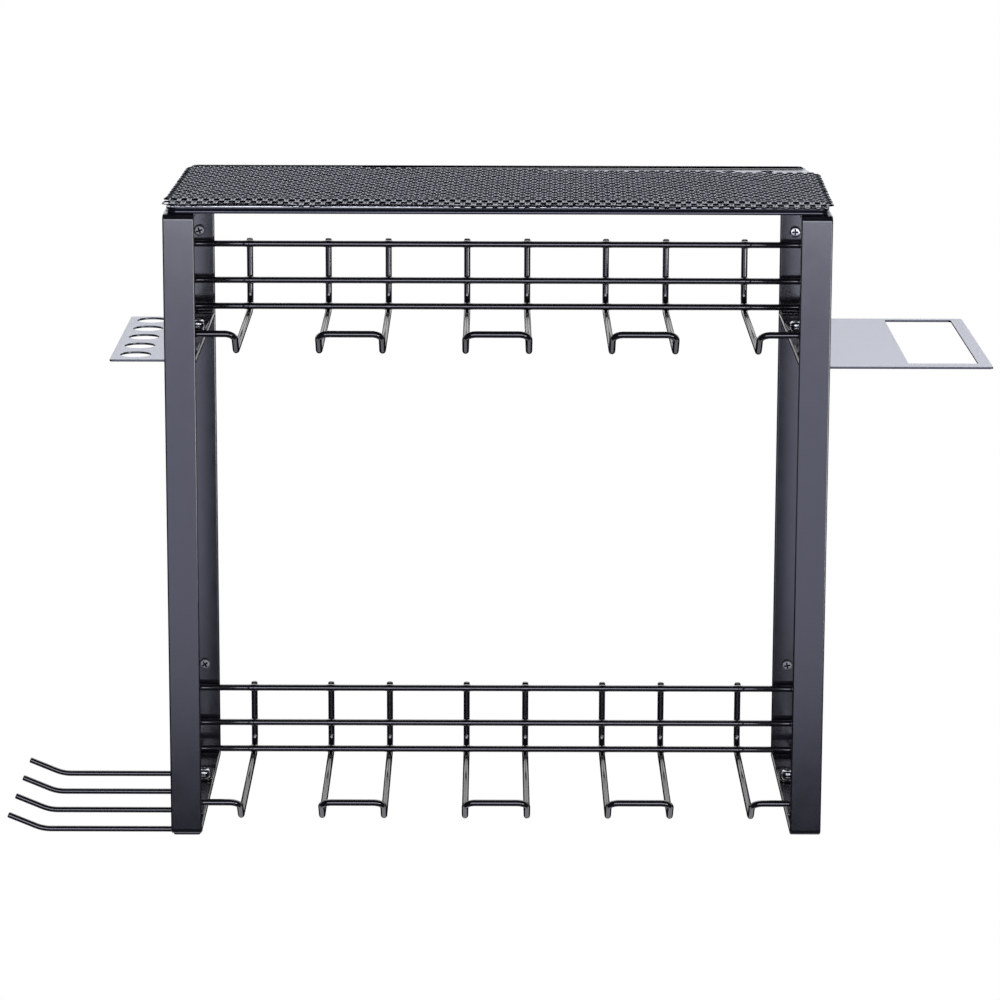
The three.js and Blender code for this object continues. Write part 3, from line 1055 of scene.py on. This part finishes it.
def vinyl(name, colour, roughness, look):
    """Foamed vinyl: soft gloss over fine pores, with a little uneven colour."""
    skin = bpy.data.materials.new(name)
    skin.use_nodes = True
    nodes, links = skin.node_tree.nodes, skin.node_tree.links
    shader = nodes["Principled BSDF"]
    shader.inputs["Roughness"].default_value = roughness
    for socket, value in look.items():
        shader.inputs[socket].default_value = value
    place = nodes.new("ShaderNodeTexCoord")
    pores = nodes.new("ShaderNodeTexNoise")
    pores.inputs["Scale"].default_value = pore_grain
    pores.inputs["Detail"].default_value = pore_detail
    links.new(place.outputs["Object"], pores.inputs["Vector"])
    tint = nodes.new("ShaderNodeMix")
    tint.data_type = "RGBA"
    tint.inputs["A"].default_value = [pore_dark * part for part in colour[:3]] + [1]
    tint.inputs["B"].default_value = colour
    links.new(pores.outputs["Fac"], tint.inputs["Factor"])
    links.new(tint.outputs["Result"], shader.inputs["Base Color"])
    relief = nodes.new("ShaderNodeBump")
    relief.inputs["Strength"].default_value = pore_relief
    relief.inputs["Distance"].default_value = pore_depth
    links.new(pores.outputs["Fac"], relief.inputs["Height"])
    links.new(relief.outputs["Normal"], shader.inputs["Normal"])
    return skin


mat_vinyl = vinyl("mat_vinyl", vinyl_grey, vinyl_roughness, vinyl_look)
# The second vinyl paints shade on the walls of the gaps.
mat_gap_wall_shade = vinyl("mat_gap_wall_shade", gap_wall_shade_grey, gap_wall_shade_roughness, gap_wall_shade_look)

front_left, front_right, rear_right, rear_left = mat_corners
along_front = (front_right - front_left).normalized()
back_from_front = Vector((-along_front.y, along_front.x))
rear_edge = (rear_right - rear_left).normalized()
tray_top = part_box("shelf_tray")[1].z + mat_seat
mat_width = (front_right - front_left).length
mat_length = (rear_left - front_left).length
mat_pitch = mat_width / (mat_columns + 0.5)
mat_row = mat_length / mat_rows


def sag(run):
    """1 where the front edge hangs down over the tray's bend, 0 where it stays back and up."""
    x = front_left.x + run
    return min(1, sum(math.exp(-(((x - middle) / half) ** 2)) for middle, half in front_sags))


def mat_height(run, depth):
    """How far the mat stands off the tray: a curl along its front, and slight waves."""
    sway = math.sin(run * curl_wave + curl_sway * math.sin(run * curl_sway_wave))
    wave = 0.5 + 0.5 * sway * math.cos(run * curl_beat + curl_beat_start)
    curl = mat_curl * (0.5 + 0.5 * wave) * math.exp(-(((depth - curl_place) / curl_reach) ** 2))
    (along, back), (deep, aside) = ripple_waves
    swell = math.sin(run * along + depth * back) * math.sin(depth * deep + run * aside)
    ripple = ripple_height * (1 + swell)
    return curl + mat_lift * (1 - sag(run)) * math.exp(-max(depth, 0) / lift_reach) + ripple


def ring_of(corner_share, half_width, half_length):
    """Twelve points of a rounded long gap, anticlockwise from its rear end."""
    side_points = (
        (0, 1),
        (-corner_share, gap_end_share),
        (-1, gap_side_share),
        (-1, 0),
        (-1, -gap_side_share),
        (-corner_share, -gap_end_share),
    )
    half = [Vector((x * half_width, y * half_length)) for x, y in side_points]
    return half + [-point for point in half]


net = bmesh.new()
hex_high = mat_row / 2 + mat_pitch ** 2 / (8 * mat_row)
hex_low = mat_row - hex_high
hexagon = [
    Vector((0, hex_high)),
    Vector((-mat_pitch / 4, mat_row / 2)),
    Vector((-mat_pitch / 2, hex_low)),
    Vector((-mat_pitch / 2, 0)),
    Vector((-mat_pitch / 2, -hex_low)),
    Vector((-mat_pitch / 4, -mat_row / 2)),
]
hexagon += [-point for point in hexagon]
crown_heights = [mat_thickness - (0 if k % 6 in (1, 5) else mat_dip) for k in range(len(hexagon))]
gap_rings = (
    (strand_half, mat_thickness),
    (0, mat_thickness - gap_rim_drop),
    (0, gap_foot),
)
mat_random = random.Random(mat_seed)
shared, border = {}, {}


def net_point(local, height):
    """A point of the net, in the mat's own directions and above the tray under it."""
    forward = sag_forward * sag(local.x) * math.exp(-max(local.y, 0) / sag_reach)
    spot = front_left + along_front * local.x + back_from_front * (local.y - forward)
    height *= 1 - edge_thin * math.exp(-((max(local.y, 0) / edge_thin_reach) ** 2))
    return net.verts.new((spot.x, spot.y, tray_top + mat_height(local.x, local.y) + height))


def shared_point(face, local, height):
    """A point on the line between two cells, made the first time that it is asked for."""
    key = (face, round(local.x / mat_pitch * grid_steps[0]), round(local.y / mat_row * grid_steps[1]))
    if key not in shared:
        shared[key] = net_point(local, height)
    return shared[key]


for row in range(mat_rows):
    for column in range(mat_columns):
        cell = Vector(((column + 0.5 + 0.5 * (row % 2)) * mat_pitch, (row + 0.5) * mat_row))
        spot = front_left + along_front * cell.x + back_from_front * cell.y
        if (spot - rear_left).dot(Vector((-rear_edge.y, rear_edge.x))) > -mat_row / 2:
            continue
        shake = Vector((mat_random.uniform(-1, 1), mat_random.uniform(-1, 1))) * gap_shake
        grow = mat_random.uniform(*gap_growth)
        rings = [[
            shared_point("top", cell + point, height)
            for point, height in zip(hexagon, crown_heights)
        ]]
        for wider, height in gap_rings:
            outline = ring_of(gap_corner, gap_half_width * grow + wider, gap_half_length + wider)
            rings.append([net_point(cell + shake + point, height) for point in outline])
        rings.append([shared_point("bottom", cell + point, 0) for point in hexagon])
        bridged(net, rings)
        for k in range(len(hexagon)):
            pair = frozenset((rings[0][k - 1], rings[0][k]))
            wall = (rings[0][k], rings[0][k - 1], rings[-1][k - 1], rings[-1][k])
            border[pair] = None if pair in border else wall
for wall in border.values():
    if wall:
        net.faces.new(wall)
net.normal_update()
# Steep faces, the walls of the gaps, take the painted-shade vinyl.
for face in net.faces:
    face.material_index = int(abs(face.normal.z) < wall_slope)
net_piece = finished(
    "vinyl_net_mat",
    net,
    mat_vinyl,
    ["mesh_mat"],
    smooth=no_crease,
    inside=mat_gap_wall_shade,
)


# Studio. A pale floor well below the hanging rack, white all round for the camera and in
# reflections, black cards in front, at the sides, above, below and low at the rear that keep the
# glossy paint dark, and soft lamps inside them.
floor_level = -0.9
floor_reach = ((-3, -0.7), (3, 5))
floor_pale = (0.86, 0.86, 0.86, 1)
room_fill = 0.65
room_tint = (0.90, 0.92, 1, 1)
card_black = (0.02, 0.02, 0.022, 1)
card_width = 3.6
card_front = -3.7
card_low = -0.88
card_high = 2.7
card_rear = 3.2
card_rear_high = 0.2
card_side_rear = 1.6
matt_roughness = 0.9
white_rays = ["Is Camera Ray", "Is Glossy Ray", "Is Transmission Ray"]
aim = Vector((0, -0.1, 0.21))


def shown_white(tree, lit, output, white, kinds):
    """Rays of the named kinds see white, and other rays see the lit version."""
    nodes, links = tree.nodes, tree.links
    ray = nodes.new("ShaderNodeLightPath")
    seen = ray.outputs[kinds[0]]
    for kind in kinds[1:]:
        either = nodes.new("ShaderNodeMath")
        either.operation = "MAXIMUM"
        links.new(seen, either.inputs[0])
        links.new(ray.outputs[kind], either.inputs[1])
        seen = either.outputs[0]
    mix = nodes.new("ShaderNodeMixShader")
    links.new(seen, mix.inputs["Fac"])
    links.new(lit, mix.inputs[1])
    links.new(white, mix.inputs[2])
    links.new(mix.outputs["Shader"], output)


floor_mesh = bmesh.new()
(left, front), (right, back) = floor_reach
floor_mesh.faces.new([
    floor_mesh.verts.new((x, y, floor_level))
    for x, y in ((left, front), (right, front), (right, back), (left, back))
])
floor = as_object("studio_floor", floor_mesh)
floor_paper = bpy.data.materials.new("floor_paper")
floor_paper.use_nodes = True
paper_nodes = floor_paper.node_tree.nodes
paper_nodes["Principled BSDF"].inputs["Base Color"].default_value = floor_pale
paper_nodes["Principled BSDF"].inputs["Roughness"].default_value = matt_roughness
paper_white = paper_nodes.new("ShaderNodeEmission")
shown_white(
    floor_paper.node_tree,
    paper_nodes["Principled BSDF"].outputs["BSDF"],
    paper_nodes["Material Output"].inputs["Surface"],
    paper_white.outputs["Emission"],
    white_rays,
)
floor.data.materials.append(floor_paper)

card_mesh = bmesh.new()
wide, tall = (-card_width, card_width), (card_low, card_high)
there_and_back = wide + wide[::-1]
cards = []
for y, top in ((card_front, card_high), (card_rear, card_rear_high)):
    heights = (card_low, card_low, top, top)
    cards.append([(x, y, z) for x, z in zip(there_and_back, heights)])
for z in tall:
    depths = (card_front, card_front, card_rear, card_rear)
    cards.append([(x, y, z) for x, y in zip(there_and_back, depths)])
for x in wide:
    depths = (card_front, card_side_rear, card_side_rear, card_front)
    heights = (tall[0], tall[0], tall[1], tall[1])
    cards.append([(x, y, z) for y, z in zip(depths, heights)])
for corners in cards:
    card_mesh.faces.new([card_mesh.verts.new(corner) for corner in corners])
black_cards = as_object("black_cards", card_mesh)
black_cards.visible_camera = False
card_paint = bpy.data.materials.new("card_paint")
card_paint.use_nodes = True
card_shader = card_paint.node_tree.nodes["Principled BSDF"]
card_shader.inputs["Base Color"].default_value = card_black
card_shader.inputs["Roughness"].default_value = matt_roughness
card_shader.inputs["Specular IOR Level"].default_value = 0
black_cards.data.materials.append(card_paint)

surround = bpy.data.worlds.new("studio_surround")
bpy.context.scene.world = surround
surround.use_nodes = True
room = surround.node_tree.nodes
room["Background"].inputs["Color"].default_value = room_tint
room["Background"].inputs["Strength"].default_value = room_fill
room_white = room.new("ShaderNodeBackground")
room_white.inputs["Color"].default_value = (1, 1, 1, 1)
shown_white(
    surround.node_tree,
    room["Background"].outputs["Background"],
    room["World Output"].inputs["Surface"],
    room_white.outputs["Background"],
    white_rays,
)


def softbox(name, place, size, brightness, colour=(1, 1, 1)):
    """A rectangular soft lamp of a given surface brightness that faces the rack."""
    lamp = bpy.data.lights.new(name, "AREA")
    lamp.shape = "RECTANGLE"
    lamp.size, lamp.size_y = size
    lamp.energy = brightness * math.pi * size[0] * size[1]
    lamp.color = colour
    holder = bpy.data.objects.new(name, lamp)
    holder.location = place
    holder.rotation_euler = (aim - Vector(place)).to_track_quat("-Z", "Y").to_euler()
    holder.visible_camera = False
    bpy.context.scene.collection.objects.link(holder)


softbox(
    "key_softbox",
    place=(0, -3.2, 0.5),
    size=(4.4, 1.0),
    brightness=4.2,
    colour=(0.84, 0.86, 1),
)
softbox(
    "low_softbox",
    place=(0, -3.2, -0.39),
    size=(4.4, 0.76),
    brightness=1.27,
    colour=(0.74, 0.755, 1),
)
softbox("side_softbox", place=(2.0, -2.0, -0.2), size=(1.0, 0.5), brightness=8.0)
softbox(
    "high_softbox",
    place=(0, 2.4, 1.6),
    size=(3.4, 0.8),
    brightness=3.0,
    colour=(0.92, 0.94, 1),
)
softbox(
    "top_softbox",
    place=(0.1, 1.3, 2.2),
    size=(3.0, 1.3),
    brightness=1.6,
    colour=(0.95, 0.96, 1),
)
softbox(
    "nose_softbox",
    place=(0, 0.22, -0.8),
    size=(3.0, 0.5),
    brightness=0.85,
    colour=(0.94, 0.92, 1),
)


# Camera. It stands above the rack and looks down at it. Its place, tilt and lens were fitted to
# points of the photograph, taking the rack as square.
camera_place = (-0.0033, -2.8235, 0.8096)
camera_yaw = math.radians(0.117)
camera_pitch = math.radians(12.389)
camera_roll = math.radians(0.18)
camera_lens = 145.56
camera_sensor = 36

lens = bpy.data.cameras.new("camera")
lens.lens = camera_lens
lens.sensor_width = camera_sensor
camera = bpy.data.objects.new("camera", lens)
camera.matrix_world = (
    Matrix.Translation(camera_place)
    @ Matrix.Rotation(-camera_yaw, 4, "Z")
    @ Matrix.Rotation(math.pi / 2 - camera_pitch, 4, "X")
    @ Matrix.Rotation(camera_roll, 4, "Z")
)
bpy.context.scene.collection.objects.link(camera)
bpy.context.scene.camera = camera
bpy.context.scene.view_settings.view_transform = "Standard"
